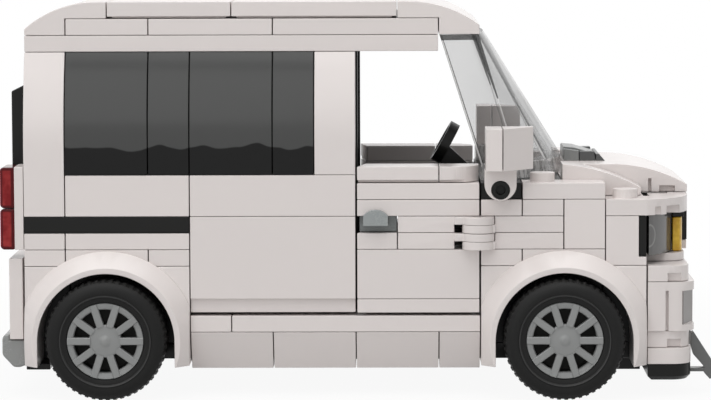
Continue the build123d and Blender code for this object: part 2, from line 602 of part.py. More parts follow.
# Corner plates over the lamps, each with a bare stud.
CORNER_REACH = 8.7          # ahead of the front face
CORNER_IN = 14.0            # how far the curve runs in from the body side
CORNER_TAIL = 1.0           # its inner edge starts this far ahead of the front face
corner_back = along(BODY_STUDS - 1) + GAP
corner_start = (FRONT, SIDE)
corner_end = (FRONT + CORNER_REACH, SIDE - CORNER_IN)
CORNER_BULGE = 2.6
middle = sagged(corner_end, corner_start, -CORNER_BULGE)
corner = upward(outline((corner_back, INNER + GAP), (corner_back, SIDE), corner_start, (middle, corner_end),
                        (FRONT + CORNER_TAIL, SIDE - CORNER_IN), (FRONT + CORNER_TAIL, INNER + GAP)),
                level(STRIPE_TOP), level(COWL) - SEAM)
# Notches in its underside: (rear, front) ahead of the front face, depth
CORNER_NOTCHES = ((1.6, 2.7, 2.0), (3.9, 6.6, 6.0))
for start, end, depth in CORNER_NOTCHES:
    corner -= box(FRONT + start, FRONT + end, SIDE - depth, SIDE, level(STRIPE_TOP), level(STRIPE_TOP) + NOTCH_TALL)
corner += stud(along(BODY_STUDS - 0.5), SIDE - STUD / 2, level(COWL) - SEAM)
node("corner_plates", both([corner]))

# ---------------------------------------------------------------- lamps and grille
HEADLAMP_BACK = 2.8         # thickness of the slanted lens
HEADLAMP_BULGE = 0.4
HEADLAMP = ((0.4, 1.0), (5.6, 11.4))        # outer face from rear to front: (ahead, in from the side)
lens_rear = (FRONT + HEADLAMP[0][0], SIDE - HEADLAMP[0][1])
lens_front = (FRONT + HEADLAMP[1][0], SIDE - HEADLAMP[1][1])
lens = outline(lens_rear, (sagged(lens_rear, lens_front, HEADLAMP_BULGE), lens_front),
               (lens_front[0] - GAP, lens_front[1] - HEADLAMP_BACK), (lens_rear[0], lens_front[1] - HEADLAMP_BACK))
node("headlamps", both([upward(lens, level(LAMP_LOW), level(LAMP_HIGH) - SEAM)]))

TURN = (5.8, 7.8)           # turn lamp from back to front, ahead of the front face
TURN_HALF = 2.0
TURN_IN = 13.2              # its centre line in from the body side
TURN_CURVE = 0.7            # bulge of its front
TURN_TALL = 2.1             # plates
turn_back = FRONT + TURN[0]
turn_face = FRONT + TURN[1]
turn_low = SIDE - TURN_IN - TURN_HALF
turn_high = SIDE - TURN_IN + TURN_HALF
turn_plan = outline((turn_back, turn_low), (turn_face - TURN_CURVE, turn_low),
                    ((turn_face, SIDE - TURN_IN), (turn_face - TURN_CURVE, turn_high)), (turn_back, turn_high))
node("turn_lamps", both([upward(turn_plan, level(LAMP_LOW), level(LAMP_LOW + TURN_TALL) - SEAM)]))

# Black grille: a frame with level bars in front of the nose core.
GRILLE_REACH = 9.0
GRILLE_HALF = 2 * STUD - GAP
GRILLE_RIM = 1.0
GRILLE_BARS = 3
BROW_OUT = 5.0              # shelf over the turn lamps, beyond the grille's sides
grille_back = FRONT + NOSE_CORE + GAP
grille_front = FRONT + GRILLE_REACH
grille_low = level(LAMP_LOW + GRILLE_FOOT)
grille_high = level(LAMP_HIGH) - SEAM
grille = box(grille_back, grille_front, -GRILLE_HALF, GRILLE_HALF, grille_low, grille_high)
brow_half = GRILLE_HALF + BROW_OUT
grille += box(turn_back, grille_front - GRILLE_RIM, -brow_half, brow_half, level(LAMP_LOW + TURN_TALL), grille_high)
bar_pitch = (grille_high - grille_low - GRILLE_RIM) / GRILLE_BARS
for index in range(GRILLE_BARS):
    slot_low = grille_low + GRILLE_RIM + index * bar_pitch
    grille -= box(grille_front - GRILLE_RIM, grille_front, -GRILLE_HALF + GRILLE_RIM, GRILLE_HALF - GRILLE_RIM,
                  slot_low, slot_low + bar_pitch - GRILLE_RIM)
node("grille", [grille])

# Chin blades, one at each end of the bumper: their section in (ahead of the front face, height).
BLADE = ((9.0, 11.6), (9.6, 11.9), (FRONT_OVERHANG, 6.0), (FRONT_OVERHANG, 3.0), (12.8, 2.6), (11.7, 3.8),
         (11.7, 5.0), (9.6, 7.4), (9.0, 9.4))
BLADE_WIDTH = 2.6
BLADE_IN = 7.5              # middle of a blade in from the body side
STRUT_Z = 4.1               # strut between the blade and the bumper base
STRUT = 0.7
STRUT_REACH = 12.0
blade_y0 = SIDE - BLADE_IN - BLADE_WIDTH / 2
blade_y1 = SIDE - BLADE_IN + BLADE_WIDTH / 2
blade = across(outline(*[(FRONT + x, z) for x, z in BLADE]), blade_y0, blade_y1)
blade += box(FRONT + NOSE_REACH - BASE_BACK + GAP, FRONT + STRUT_REACH, blade_y0, blade_y1, STRUT_Z, STRUT_Z + STRUT)
node("chin_blade", both([blade]))

# ---------------------------------------------------------------- cab fittings
STEERING_TILT = 29          # steering wheel's lean from upright, degrees
STEERING_RADIUS = 4.3
STEERING_RIM = 1.1
STEERING_THICK = 1.9
STEERING_BACK = 6.5         # its centre behind the door's front edge
STEERING_Y = -12.0
COLUMN_HALF = 1.6
COLUMN_BACK = 1.6           # column's foot behind the wheel's centre
COLUMN_FLAT = 2.0           # level top of the column behind the door's front edge
COLUMN_DIP = 1.0            # and below the row of the glass
DASH_IN = 2.0               # dashboard inside the inner faces
DASH_HALF = INNER - DASH_IN

node("dashboard", [brick(DOOR_FRONT - 1, DOOR_FRONT, -DASH_HALF, DASH_HALF, UPPER_ROW, DECK),
                   brick(DOOR_FRONT, DOOR_FRONT + 1, -INNER, INNER, ARCH_TOP, DECK),
                   brick(DOOR_FRONT, DOOR_FRONT + 1, -lower_half, lower_half, SILL_TOP, ARCH_TOP)])
steering_x = along(DOOR_FRONT) - STEERING_BACK
ring = Cylinder(STEERING_RADIUS, STEERING_THICK) - Cylinder(STEERING_RADIUS - STEERING_RIM, STEERING_THICK)
inside = 2 * STEERING_RADIUS - STEERING_RIM
ring += Box(inside, STEERING_RIM, STEERING_RIM) + Box(STEERING_RIM, inside, STEERING_RIM)
steering = Pos(steering_x, STEERING_Y, level(GLASS_ROW + 1)) * Rot(0, STEERING_TILT - 90, 0) * ring
dash_edge = along(DOOR_FRONT)
column = outline((steering_x, level(GLASS_ROW + 1)), (steering_x - COLUMN_BACK, level(DECK)),
                 (dash_edge - GAP, level(DECK)), (dash_edge - COLUMN_FLAT, level(GLASS_ROW) - COLUMN_DIP))
node("steering_wheel", [steering + across(column, STEERING_Y - COLUMN_HALF, STEERING_Y + COLUMN_HALF)])

# ---------------------------------------------------------------- mirrors
ARM_RADIUS = 3.05
ARM_ROUND_UP = 1.0          # centre of the arm's round end above the pin
ARM_THICK = 3.1
ARM_HOLE = 1.8
MIRROR_PIN = 1.7
PIN_BLOCK_IN = 0.8          # pin block's face inside the body side
PIN_HOLLOW = 0.9
PIN_HOLLOW_DEPTH = 1.5
MIRROR_AHEAD = 3.75         # pin ahead of the door's front edge
MIRROR_PIN_UP = 2.0         # pin above the cowl line
HOUSING_TALL = 8.1
HOUSING_DIP = 0.4           # housing's underside below the row of the glass
HOUSING_OUT = 1.0           # its inner side beyond the body side
HOUSING_TILE = 3.2          # tile half of the housing
HOUSING_WEDGE = 6.0
HOUSING_WIDE = 8.0
HOUSING_AHEAD = 0.25        # joint of its two halves ahead of the pin
HOUSING_TAPER = 7.0         # the wedge half narrows by this on its outer side

pin_x = along(DOOR_FRONT) + MIRROR_AHEAD
pin_z = level(COWL) + MIRROR_PIN_UP
arm_face = SIDE + GAP
housing_low = level(GLASS_ROW) - HOUSING_DIP
arm = box(pin_x - ARM_RADIUS, pin_x + ARM_RADIUS, arm_face, arm_face + ARM_THICK, pin_z + ARM_ROUND_UP,
          housing_low - SEAM)
arm += cylinder_y(ARM_RADIUS, pin_x, pin_z + ARM_ROUND_UP, arm_face, arm_face + ARM_THICK)
arm -= cylinder_y(ARM_HOLE, pin_x, pin_z, SIDE, arm_face + ARM_THICK + GAP)
y0 = SIDE + HOUSING_OUT
y1 = y0 + HOUSING_WIDE
joint_x = pin_x + HOUSING_AHEAD
housing_back = outline((joint_x - HOUSING_TILE, y0), (joint_x - HOUSING_TILE, y1), (joint_x - GAP, y1),
                       (joint_x - GAP, y0))
wedge = outline((joint_x + GAP, y0), (joint_x + GAP, y1), (joint_x + HOUSING_WEDGE, y1 - HOUSING_TAPER),
                (joint_x + HOUSING_WEDGE, y0))
housing = [upward(face, housing_low, housing_low + HOUSING_TALL) for face in (housing_back, wedge)]
node("mirrors", both([arm] + housing))
pin_block = brick(DOOR_FRONT, DOOR_FRONT + 1, INNER, SIDE - PIN_BLOCK_IN, COWL, DECK)
pin_block += cylinder_y(MIRROR_PIN, pin_x, pin_z, SIDE - PIN_BLOCK_IN, arm_face + ARM_THICK)
pin_block -= cylinder_y(PIN_HOLLOW, pin_x, pin_z, arm_face + ARM_THICK - PIN_HOLLOW_DEPTH, arm_face + ARM_THICK)
node("mirror_pins", both([pin_block]))

# ---------------------------------------------------------------- front doors
HINGE_X = along(DOOR_FRONT) - HINGE_BACK
HINGE_Y = SIDE + HINGE_PROUD - HINGE_RADIUS
door_back = along(DOOR_REAR) + DOOR_GAP
door_front = along(DOOR_FRONT) - DOOR_GAP
reach = HINGE_X - door_back - DOOR_RELIEF_PLAY
relief = reach - sqrt(reach ** 2 - STUD ** 2)
# Room for the door: its rear edge slants, so that the inner corner clears the sliding door.
door_zone = upward(outline((door_back + relief, INNER), (door_back, SIDE), (door_front, SIDE), (door_front, INNER)),
                   level(SILL_TOP) + DOOR_LIFT, level(ROOF))

# (rear, front) from the door's rear edge, (low, high) plates
DOOR_COURSES = ((0, 3, SILL_TOP, foot_top), (0, 3, foot_top, LOWER_ROW), (0, 1, LOWER_ROW, UPPER_ROW),
                (0, 3, STRIPE_TOP, COWL), (0, 3, COWL, DECK), (0, 2, DECK, GLASS_ROW), (2, 3, DECK, GLASS_ROW))
door = [door_zone & brick(DOOR_REAR + s0, DOOR_REAR + s1, INNER, SIDE, p0, p1) for s0, s1, p0, p1 in DOOR_COURSES]
# The two cap tiles stand on a shallow groove, and the front one's outer corner is rounded in plan.
CAP_GROOVE = 0.5
CAP_GROOVE_DEPTH = 1.0
CAP_ROUND = 6.0
bend = CAP_ROUND * (1 - sqrt(0.5))
cap_plan = outline((door_back, INNER), (door_back, SIDE), (door_front - CAP_ROUND, SIDE),
                   ((door_front - bend, SIDE - bend), (door_front, SIDE - CAP_ROUND)), (door_front, INNER))
cap_zone = upward(cap_plan, level(DECK), level(GLASS_ROW))
cap_zone -= box(door_back, door_front, SIDE - CAP_GROOVE_DEPTH, SIDE, level(DECK), level(DECK) + CAP_GROOVE)
door = door[:-2] + [cap & cap_zone for cap in door[-2:]]
node("front_door_left", door)
node("front_door_right", [flip(shape) for shape in door])

moving_halves = []
fixed_halves = []
neck_low = HINGE_Y - HINGE_NECK / 2
neck_high = HINGE_Y + HINGE_NECK / 2
for row in (LOWER_ROW, UPPER_ROW):
    low = level(row)
    middle = low + PLATE / 2
    high = low + PLATE - SEAM
    finger_top = middle - FINGER_PLAY
    leaf_end = HINGE_X - HINGE_RADIUS - HINGE_NECK_GAP
    leaf = box(along(DOOR_REAR + 1) + GAP, leaf_end, INNER, SIDE, low, high)
    leaf += box(leaf_end, HINGE_X, neck_low, neck_high, middle, high)
    leaf += cylinder_z(HINGE_RADIUS, HINGE_X, HINGE_Y, middle, high)
    leaf -= cylinder_z(HINGE_PIN_RADIUS + HINGE_CLEARANCE, HINGE_X, HINGE_Y, middle, high)
    moving_halves.append(leaf)
    base_start = HINGE_X + HINGE_RADIUS + HINGE_PLAY
    base = box(base_start, along(DOOR_FRONT + 2) - GAP, INNER, SIDE, low, high)
    base += box(HINGE_X, base_start, neck_low, neck_high, low, finger_top)
    base += cylinder_z(HINGE_RADIUS, HINGE_X, HINGE_Y, low, finger_top)
    base += cylinder_z(HINGE_PIN_RADIUS, HINGE_X, HINGE_Y, finger_top, high - FINGER_PLAY)
    fixed_halves.append(base)
node("door_hinge_left", moving_halves)
node("door_hinge_right", [flip(shape) for shape in moving_halves])
node("hinge_bases", both(fixed_halves))

GRIP = (1.4, 6.2)           # grip's ends ahead of the door's rear edge
GRIP_UP = 1.4               # its foot over the recess's floor
GRIP_SHOULDER = 3.3
GRIP_TOP = 4.5
handle = door_zone & box(door_back, along(DOOR_REAR + 1) - GAP, INNER, SIDE - HANDLE_RECESS, level(UPPER_ROW),
                         level(STRIPE_TOP) - SEAM)
grip_x0 = along(DOOR_REAR) + GRIP[0]
grip_x1 = along(DOOR_REAR) + GRIP[1]
grip_z = level(UPPER_ROW)
grip = across(outline((grip_x0, grip_z + GRIP_UP), (grip_x1, grip_z + GRIP_UP), (grip_x1, grip_z + GRIP_SHOULDER),
                      (((grip_x0 + grip_x1) / 2, grip_z + GRIP_TOP), (grip_x0, grip_z + GRIP_SHOULDER))),
              SIDE - HANDLE_RECESS, SIDE + HANDLE_PROUD)
handle += grip - box(grip_x0, grip_x1, 0, SIDE + SEAM, level(STRIPE_TOP) - SEAM, level(COWL))
node("door_handle_left", [handle])
node("door_handle_right", [flip(handle)])


# ---------------------------------------------------------------- wheels
def rim():
    """Rim of a left wheel, axis on Y: wall, spokes, hub and a blind bore for the pin."""
    face = WHEEL_FACE - RIM_RECESS
    back = face - RIM_DEPTH
    hub_face = face + HUB_BOSS
    wheel = cylinder_y(RIM_RADIUS, 0, 0, back, face) - cylinder_y(RIM_RADIUS - RIM_WALL, 0, 0, back, face)
    wheel += cylinder_y(HUB_RADIUS, 0, 0, WHEEL_BACK, hub_face)
    wheel += cylinder_y(RIM_RADIUS - RIM_WALL / 2, 0, 0, face - WEB_RECESS - WEB_THICK, face - WEB_RECESS)
    for index in range(SPOKES):
        spoke = box(HUB_RADIUS - SPOKE_WIDTH / 2, RIM_RADIUS - RIM_WALL / 2, face - SPOKE_THICK,
                    face - SPOKE_RECESS, -SPOKE_WIDTH / 2, SPOKE_WIDTH / 2)
        wheel += Rot(0, index * 360 / SPOKES, 0) * spoke
    return wheel - cylinder_y(PIN_RADIUS + PIN_CLEARANCE, 0, 0, WHEEL_BACK, WHEEL_BACK + PIN_LENGTH + PIN_END_PLAY)


def tyre():
    """Tyre of a left wheel, turned from its half section."""
    section = outline((RIM_RADIUS, WHEEL_BACK), (TYRE_RADIUS - TYRE_SHOULDER, WHEEL_BACK),
                      (TYRE_RADIUS, WHEEL_BACK + TYRE_SHOULDER), (TYRE_RADIUS, WHEEL_FACE - TYRE_SHOULDER),
                      (TYRE_RADIUS - TYRE_SHOULDER, WHEEL_FACE), (RIM_RADIUS, WHEEL_FACE))
    return revolve(section, Axis.Y)


left_rim = rim()
left_tyre = tyre()
for place, axle in AXLES.items():
    here = Pos(along(axle), 0, TYRE_RADIUS)
    node(f"{place}_left_rim", [here * left_rim])
    node(f"{place}_left_tyre", [here * left_tyre])
    node(f"{place}_right_rim", [flip(here * left_rim)])
    node(f"{place}_right_tyre", [flip(here * left_tyre)])

# ---------------------------------------------------------------- one file per sub-part
os.makedirs("parts", exist_ok=True)
for name, solids in nodes.items():
    export_step(Compound(solids), f"parts/{name}.step")
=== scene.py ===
import json
from math import cos, hypot, pi, radians, sin

import bmesh
import bpy
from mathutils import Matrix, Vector


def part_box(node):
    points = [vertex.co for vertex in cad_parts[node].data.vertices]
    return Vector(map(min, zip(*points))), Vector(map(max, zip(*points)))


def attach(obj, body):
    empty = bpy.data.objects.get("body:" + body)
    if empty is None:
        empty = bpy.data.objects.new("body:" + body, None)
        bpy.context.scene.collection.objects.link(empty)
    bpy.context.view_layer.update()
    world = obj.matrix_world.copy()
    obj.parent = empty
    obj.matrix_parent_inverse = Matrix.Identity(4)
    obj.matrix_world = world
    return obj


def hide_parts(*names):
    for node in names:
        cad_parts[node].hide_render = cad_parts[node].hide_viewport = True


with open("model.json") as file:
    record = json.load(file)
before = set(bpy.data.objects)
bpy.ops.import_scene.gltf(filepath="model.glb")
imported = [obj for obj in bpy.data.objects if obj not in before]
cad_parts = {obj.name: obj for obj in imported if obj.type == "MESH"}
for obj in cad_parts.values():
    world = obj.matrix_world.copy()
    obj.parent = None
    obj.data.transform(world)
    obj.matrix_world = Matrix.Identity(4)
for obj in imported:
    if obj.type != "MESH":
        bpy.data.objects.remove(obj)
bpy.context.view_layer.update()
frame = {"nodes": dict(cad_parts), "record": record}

# ---------------------------------------------------------------- Studio
# The toy van stands on a pale matt sheet with a white surround.  A wide soft lamp hangs
# overhead, and two weaker ones stand to the van's right-hand and left-hand sides.
scene = bpy.context.scene
scene.view_settings.view_transform = "Standard"
MM = 0.001

lens = bpy.data.cameras.new("camera")
lens.lens = 164.9
lens.sensor_width = 36.0
lens.clip_start = 0.01
lens.clip_end = 40.0
camera = bpy.data.objects.new("camera", lens)
camera.location = (0.0078, -0.6554, 0.0934)
camera.rotation_euler = (radians(84.95), radians(0.19), radians(0.74))
scene.collection.objects.link(camera)
scene.camera = camera


class Wire:
    """A socket in a shader. Arithmetic on it adds Math nodes; node() adds any other node."""

    def __init__(self, tree, socket=None):
        self.tree = tree
        self.socket = socket

    def node(self, kind, settings, inputs, output=0):
        made = self.tree.nodes.new("ShaderNode" + kind)
        for name, value in settings.items():
            setattr(made, name, value)
        for name, value in inputs.items():
            self.feed(made.inputs[name], value)
        return Wire(self.tree, made.outputs[output])

    def feed(self, socket, value):
        if isinstance(value, Wire):
            self.tree.links.new(value.socket, socket)
        else:
            socket.default_value = value

    def fed(self, socket):
        """What already feeds a socket."""
        return Wire(self.tree, socket.links[0].from_socket)

    def maths(self, operation, first, second=0.0):
        return self.node("Math", {"operation": operation}, {0: first, 1: second})

    def __add__(self, other):
        return self.maths("ADD", self, other)

    def __radd__(self, other):
        return self.maths("ADD", other, self)

    def __sub__(self, other):
        return self.maths("SUBTRACT", self, other)

    def __rsub__(self, other):
        return self.maths("SUBTRACT", other, self)

    def __mul__(self, other):
        return self.maths("MULTIPLY", self, other)

    def __rmul__(self, other):
        return self.maths("MULTIPLY", other, self)

    def most(self, other):
        return self.maths("MAXIMUM", self, other)

    def rise(self, start, end):
        """0 at start, 1 at end, smooth between them."""
        return self.node("MapRange", {"interpolation_type": "SMOOTHSTEP"}, {0: self, 1: start, 2: end})

    def blend(self, first, second):
        """First colour where this is 0, second where it is 1."""
        return self.node("Mix", {"data_type": "RGBA"}, {0: self, 6: first, 7: second}, 2)


def seen_ray(start):
    """1 on rays from the camera, a mirror surface or clear plastic, 0 on rays that light the van."""
    rays = [start.node("LightPath", {}, {}, name)
            for name in ("Is Camera Ray", "Is Glossy Ray", "Is Transmission Ray")]
    return rays[0].most(rays[1]).most(rays[2])


def surface(material):
    """A material's shader, a wire to start from, and the place on the object."""
    tree = material.node_tree
    start = Wire(tree)
    return tree.nodes["Principled BSDF"], start, start.node("TexCoord", {}, {}, "Object")


ROOM_LIGHT = 0.36            # the world's strength where it only lights the van
world = bpy.data.worlds.new("studio")
world.use_nodes = True
world.node_tree.nodes.clear()
air = Wire(world.node_tree)
room = air.node("Background", {}, {"Color": (1, 1, 1, 1), "Strength": ROOM_LIGHT})
backdrop = air.node("Background", {}, {"Color": (1, 1, 1, 1), "Strength": 1.0})
surround = air.node("MixShader", {}, {0: seen_ray(air), 1: room, 2: backdrop})
output = world.node_tree.nodes.new("ShaderNodeOutputWorld")
air.feed(output.inputs["Surface"], surround)
scene.world = world

SHEET_HALF = 8.0
SHEET_DARK, SHEET_LIGHT = (0.62, 0.62, 0.62, 1), (0.66, 0.66, 0.66, 1)
SHEET_FIBRES = 900.0
SHEET_ROUGH, FIBRE_ROUGH = 0.9, 0.08       # of the sheet, and what its fibres add at most
SHEET_SHADOW = 0.07          # share of the sheet's own shade that shows beside the van
SHADOW_START, SHADOW_END = 0.10, 0.22      # how far out that shade fades, in metres
sheet_material = bpy.data.materials.new("pale_sheet")
sheet_material.use_nodes = True
sheet_shader, sheet, sheet_place = surface(sheet_material)
fibres = sheet.node("TexNoise", {}, {"Vector": sheet_place, "Scale": SHEET_FIBRES, "Detail": 3.0})
sheet.feed(sheet_shader.inputs["Base Color"], fibres.blend(SHEET_DARK, SHEET_LIGHT))
sheet.feed(sheet_shader.inputs["Roughness"], SHEET_ROUGH + fibres * FIBRE_ROUGH)
sheet_shader.inputs["Specular IOR Level"].default_value = 0.1
glow = sheet.node("Emission", {}, {"Color": (1, 1, 1, 1), "Strength": 1.0})
matt = Wire(sheet.tree, sheet_shader.outputs[0])
distance = sheet.node("VectorMath", {"operation": "LENGTH"}, {0: sheet_place}, "Value")
away = distance.rise(SHADOW_START, SHADOW_END)
shown = seen_ray(sheet) * (1 - SHEET_SHADOW + away * SHEET_SHADOW)
sheet.feed(sheet.tree.nodes["Material Output"].inputs["Surface"],
           sheet.node("MixShader", {}, {0: shown, 1: matt, 2: glow}))
sheet_mesh = bpy.data.meshes.new("floor_sheet")
corners = [(x * SHEET_HALF, y * SHEET_HALF, 0.0) for x, y in ((-1, -1), (1, -1), (1, 1), (-1, 1))]
sheet_mesh.from_pydata(corners, [], [(0, 1, 2, 3)])
floor = bpy.data.objects.new("floor_sheet", sheet_mesh)
floor.data.materials.append(sheet_material)
scene.collection.objects.link(floor)

# Lamps: name, place, aim, side lengths in metres, watts
LAMPS = (("overhead_lamp", (-0.15, -0.35, 1.3), (0, 0, 0.03), (1.6, 1.4), 16.0),
         ("side_lamp", (-0.6, -1.5, 0.75), (0, 0, 0.04), (1.4, 1.0), 5.9),
         ("far_lamp", (0.7, 1.4, 0.9), (0, 0, 0.04), (1.2, 1.0), 3.5))
for name, place, aim, size, watts in LAMPS:
    lamp = bpy.data.lights.new(name, "AREA")
    lamp.shape = "RECTANGLE"
    lamp.size, lamp.size_y = size
    lamp.energy = watts
    holder = bpy.data.objects.new(name, lamp)
    holder.location = place
    holder.rotation_euler = (Vector(aim) - Vector(place)).to_track_quat("-Z", "Y").to_euler()
    scene.collection.objects.link(holder)

# ---------------------------------------------------------------- Chassis, axle blocks and floor
# Black moulded plates and bricks.  The long plate is open below inside its rim, the wheel
# pins stick out of the two axle blocks, and bricks close each wheel well on its inner side.
carrier = {}
for body, members in frame["record"]["behaviour"]["bodies"].items():
    for member in members:
        carrier[member] = body

# Scales of the plastic's noises: waves of the flow in the mould, orange peel, fine grain
FLOW, PEEL, GRAIN = 60.0, 420.0, 3600.0
BRICK_SHARE = 0.6            # share of a tint's change that is from brick to brick; flow is the rest
PEEL_DEPTH = 0.003 * MM
PEEL_SHARE = 0.85            # share of that depth; grain is the rest
PEEL_ROUGH, GRAIN_ROUGH = 0.05, 0.03       # how far each changes the roughness


def plastic(name, dark, light, rough=0.24, gloss=0.5, peel=1.0):
    """Moulded plastic: a tint that varies a little between bricks, flow waves and a fine orange peel."""
    material = bpy.data.materials.new(name)
    material.use_nodes = True
    shader, start, place = surface(material)
    brick = start.node("NewGeometry", {}, {}, "Random Per Island")
    flow = start.node("TexNoise", {}, {"Vector": place, "Scale": FLOW, "Detail": 3.0, "Roughness": 0.6})
    skin = start.node("TexNoise", {}, {"Vector": place, "Scale": PEEL, "Detail": 2.0})
    grain = start.node("TexNoise", {}, {"Vector": place, "Scale": GRAIN, "Detail": 2.0})
    tint = brick * BRICK_SHARE + flow * (1 - BRICK_SHARE)
    start.feed(shader.inputs["Base Color"], tint.blend((*dark, 1), (*light, 1)))
    smoothest = rough - (PEEL_ROUGH + GRAIN_ROUGH) / 2
    start.feed(shader.inputs["Roughness"], smoothest + skin * PEEL_ROUGH + grain * GRAIN_ROUGH)
    shader.inputs["Specular IOR Level"].default_value = gloss
    height = skin * PEEL_SHARE + grain * (1 - PEEL_SHARE)
    bump = start.node("Bump", {}, {"Height": height, "Strength": 1.0, "Distance": PEEL_DEPTH * peel})
    start.feed(shader.inputs["Normal"], bump)
    return material


def shell(name, mesh, material, body, edge=0.12, crease=32.0):
    """Put a mesh in the scene riding on a body, edges sharper than the crease rounded by edge mm."""
    if material:
        mesh.materials.clear()
        mesh.materials.append(material)
    mesh.polygons.foreach_set("use_smooth", [True] * len(mesh.polygons))
    mesh.set_sharp_from_angle(angle=radians(crease))
    piece = bpy.data.objects.new(name, mesh)
    scene.collection.objects.link(piece)
    if edge:
        bevel = piece.modifiers.new("moulded edges", "BEVEL")
        bevel.width = edge * MM
        bevel.segments = 2
        bevel.limit_method = "ANGLE"
        bevel.angle_limit = radians(crease)
        bevel.harden_normals = True
    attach(piece, body)
    return piece


WELD = 1e-6                  # points closer than this are one, in metres
FLAT = radians(0.8)          # faces that meet at less than this are one


def moulded(node, material, edge=0.12):
    """Stand in for a CAD node with the same solids, their edges rounded as a mould rounds them."""
    form = bmesh.new()
    form.from_mesh(frame["nodes"][node].data)
    bmesh.ops.remove_doubles(form, verts=form.verts, dist=WELD)
    bmesh.ops.dissolve_limit(form, angle_limit=FLAT, verts=form.verts, edges=form.edges)
    mesh = bpy.data.meshes.new(node + "_moulded")
    form.to_mesh(mesh)
    form.free()
    piece = shell(node + "_moulded", mesh, material, carrier[node], edge)
    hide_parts(node)


BLACK = plastic("black_moulding", (0.0045, 0.0045, 0.004), (0.0065, 0.0065, 0.006), rough=0.3, gloss=0.22)
for node in ("chassis_plate", "axle_blocks", "floor_plates"):
    moulded(node, BLACK)

# ---------------------------------------------------------------- Sills, skirts and mudguards
# Glossy, slightly warm white tiles, leaning skirt slopes and flared mudguards with a round
# opening, all pressed on the chassis plate's studs.
WHITE = plastic("white_moulding", (0.715, 0.665, 0.648), (0.755, 0.70, 0.68), rough=0.25)
for node in ("sill_tiles", "skirt_slopes", "rear_arches", "front_arches"):
    moulded(node, WHITE)

# ---------------------------------------------------------------- Side courses and stripe
# White bricks in courses over the rear wheels, pressed together stud on stud, with flat
# black tiles on top of them that make the stripe.
moulded("quarter_bricks", WHITE)
moulded("stripe_tiles", BLACK)

# ---------------------------------------------------------------- Inner walls
# Walls and posts of black bricks, up from the floor plates to the roof.  The side panels
# and windows are pressed against them.
moulded("inner_walls", BLACK)

# ---------------------------------------------------------------- Side panels and sliding doors
# White plates laid on their sides and pressed against the inner walls, upright at the foot
# and leaning in towards the roof.
for node in ("quarter_panels", "sliding_door_left", "sliding_door_right"):
    moulded(node, WHITE)

# ---------------------------------------------------------------- Side windows
# Smooth dark curved panels on their sides, pressed against the inner walls.  Their colour holds a
# painted reflection: darker in a low wavy band along the foot and paler above it.
REFLECTION_LINE_HEIGHT = 48.5 * MM
REFLECTION_LINE_WAVE = 4.6 * MM
WAVE_SCALE = 125.0           # of the noise that waves the painted reflection's line along the side
REFLECTION_LINE_FADE = (-0.15 * MM, 0.2 * MM)         # from dark to pale over the painted reflection's line
PAINTED_REFLECTION_DARK = (0.006, 0.006, 0.006, 1)
TINTED = plastic("tinted_panel", (0.064, 0.065, 0.064), (0.068, 0.069, 0.068),
                 rough=0.16, gloss=0.2, peel=0.3)
tint_shader, glass, glass_place = surface(TINTED)
glass_x = glass.node("VectorMath", {"operation": "MULTIPLY"}, {0: glass_place, 1: (1.0, 0.0, 0.0)})
wave = glass.node("TexNoise", {}, {"Vector": glass_x, "Scale": WAVE_SCALE, "Detail": 1.5, "Roughness": 0.4})
glass_z = glass.node("SeparateXYZ", {}, {0: glass_place}, "Z")
# Painted reflection: the panel's colour turns dark below a wavy line near the foot
above = (glass_z - REFLECTION_LINE_HEIGHT - (wave - 0.5) * REFLECTION_LINE_WAVE).rise(*REFLECTION_LINE_FADE)
plain = glass.fed(tint_shader.inputs["Base Color"])
glass.feed(tint_shader.inputs["Base Color"], above.blend(PAINTED_REFLECTION_DARK, plain))
moulded("side_windows", TINTED)

# ---------------------------------------------------------------- Rear end
# White rear wall and lower tailgate panel, a dark window between them, two stacked clear
# red bricks pressed on a white plate on each side, and a rounded bluish grey bumper.
moulded("rear_wall", WHITE)
moulded("tailgate_panel", WHITE)
moulded("rear_window", BLACK, edge=0.25)
BUMPER_GREY = plastic("bumper_grey", (0.24, 0.245, 0.24), (0.275, 0.28, 0.275), rough=0.27)
moulded("rear_bumper", BUMPER_GREY, edge=0.45)

# Painted shade at each red brick's ends and sides, where the clear plastic bends the light away:
# where it starts to clear and where it is clear
LENS_EDGE, LENS_CLEAR = 0.42 * MM, 0.78 * MM
LENS_END = (0.5, 0.8)        # a face that looks this far along the van keeps its sides clear
SPARKLES, SPARKLE_FADE, SPARKLE_SHARE = 450.0, (0.4, 0.75), 0.6
RED_PAINTED_EDGE_SHADE = (0.07, 0.003, 0.005, 1)
RED_DEEP, RED_BRIGHT = (0.195, 0.009, 0.011, 1), (0.44, 0.05, 0.048, 1)
RED = plastic("red_lens", (0.16, 0.018, 0.020), (0.24, 0.032, 0.034), rough=0.12, gloss=0.15, peel=0.4)
red_shader, red, red_place = surface(RED)
lamp_low, lamp_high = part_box("rear_lamps")
lamp_half = (lamp_high[0] - lamp_low[0]) / 2
lamp_tall = (lamp_high[2] - lamp_low[2]) / 2
red_x = red.node("SeparateXYZ", {}, {0: red_place}, "X") - (lamp_low[0] + lamp_high[0]) / 2
red_z = red.node("SeparateXYZ", {}, {0: red_place}, "Z") - lamp_low[2]
from_ends = red.maths("PINGPONG", red_z, lamp_tall / 2).rise(LENS_EDGE, LENS_CLEAR)
from_sides = red.maths("ABSOLUTE", red_x).rise(lamp_half - LENS_EDGE, lamp_half - LENS_CLEAR)
red_normal = red.node("NewGeometry", {}, {}, "Normal")
looks_back = red.maths("ABSOLUTE", red.node("SeparateXYZ", {}, {0: red_normal}, "X")).rise(*LENS_END)
sparkle = red.node("TexNoise", {}, {"Vector": red_place, "Scale": SPARKLES, "Detail": 2.0})
inside_red = (sparkle.rise(*SPARKLE_FADE) * SPARKLE_SHARE).blend(RED_DEEP, RED_BRIGHT)
